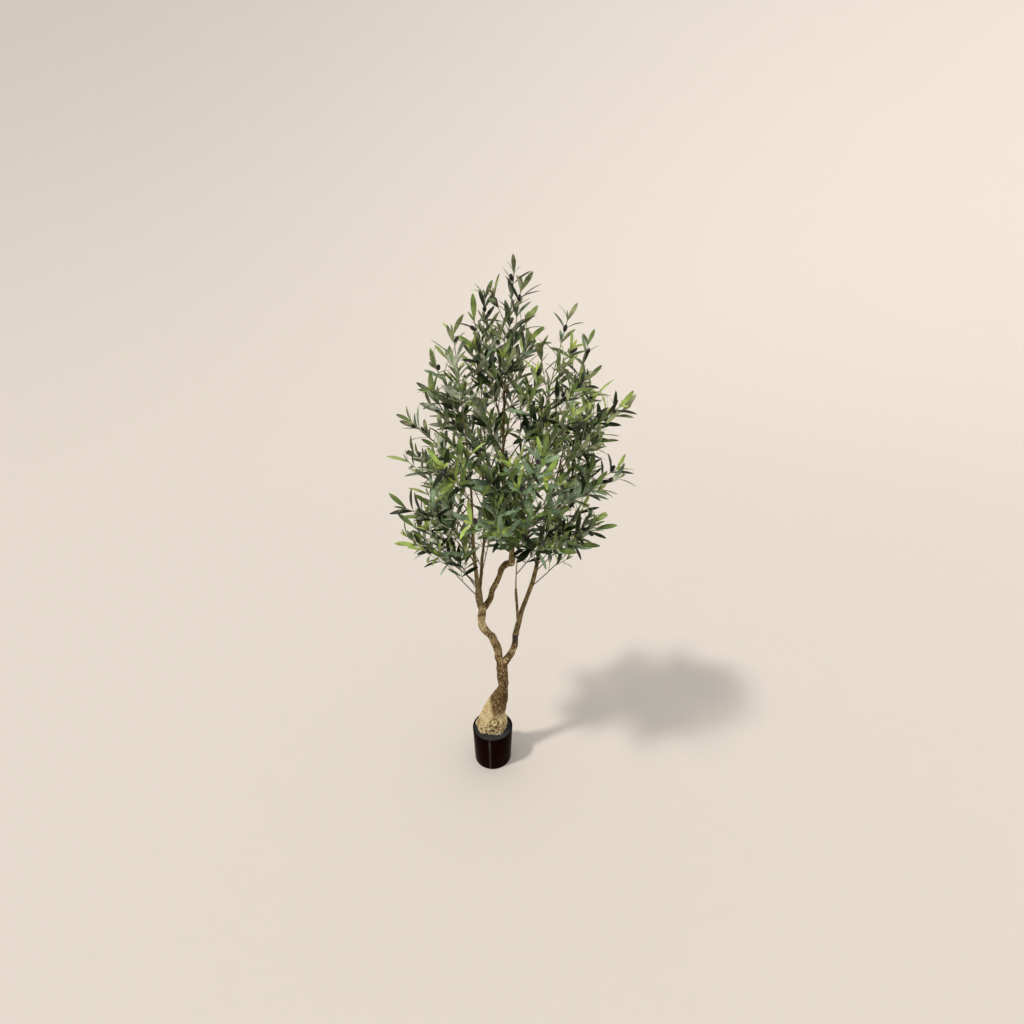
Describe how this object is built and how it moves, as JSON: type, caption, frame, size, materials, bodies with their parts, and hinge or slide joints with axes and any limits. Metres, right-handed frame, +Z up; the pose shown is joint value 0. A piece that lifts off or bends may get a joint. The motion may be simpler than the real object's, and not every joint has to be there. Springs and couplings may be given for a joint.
{
  "type": "artificial potted olive tree",
  "caption": "Artificial olive tree: bent, forked trunk with a flared root, upright boughs and an egg-shaped crown of leafy sprays with olives, set in a glossy black nursery pot.",
  "frame": {"origin": "middle of the pot's flat underside, on the surface that the tree stands on", "axes": "+Z up along the pot's axis to the crown's top, +X to the right and +Y away from a viewer who faces the side with the forked bough on the right"},
  "size_m": [0.8208, 0.7266, 1.7943],
  "materials": {
    "pot": "gloss",
    "cement": "matte",
    "bark": "matte",
    "foliage": "satin"
  },
  "bodies": {
    "root": {"pot": "pot", "pot_fill": "cement", "trunk": "bark", "stem_lower": "bark", "stem_upper": "bark", "leader": "bark", "left_bough": "bark", "left_outer": "bark", "left_inner": "bark", "right_stub": "bark", "right_bough": "bark", "right_upright": "bark", "spray_left_outer_1": "foliage", "spray_left_outer_2": "foliage", "spray_left_outer_3": "foliage", "spray_left_outer_4": "foliage", "spray_left_outer_5": "foliage", "spray_left_outer_6": "foliage", "spray_left_outer_7": "foliage", "spray_left_outer_end": "foliage", "spray_left_inner_1": "foliage", "spray_left_inner_2": "foliage", "spray_left_inner_3": "foliage", "spray_left_inner_4": "foliage", "spray_left_inner_5": "foliage", "spray_left_inner_end": "foliage", "spray_right_bough_1": "foliage", "spray_right_bough_2": "foliage", "spray_right_bough_3": "foliage", "spray_right_bough_4": "foliage", "spray_right_bough_5": "foliage", "spray_right_bough_6": "foliage", "spray_right_bough_7": "foliage", "spray_right_bough_end": "foliage", "spray_right_upright_1": "foliage", "spray_right_upright_2": "foliage", "spray_right_upright_3": "foliage", "spray_right_upright_4": "foliage", "spray_right_upright_5": "foliage", "spray_right_upright_6": "foliage", "spray_right_upright_end": "foliage", "spray_leader_1": "foliage", "spray_leader_2": "foliage", "spray_leader_3": "foliage", "spray_leader_4": "foliage", "spray_leader_5": "foliage", "spray_leader_6": "foliage", "spray_leader_7": "foliage", "spray_leader_8": "foliage", "spray_leader_9": "foliage", "spray_leader_end": "foliage"}
  },
  "joints": []
}
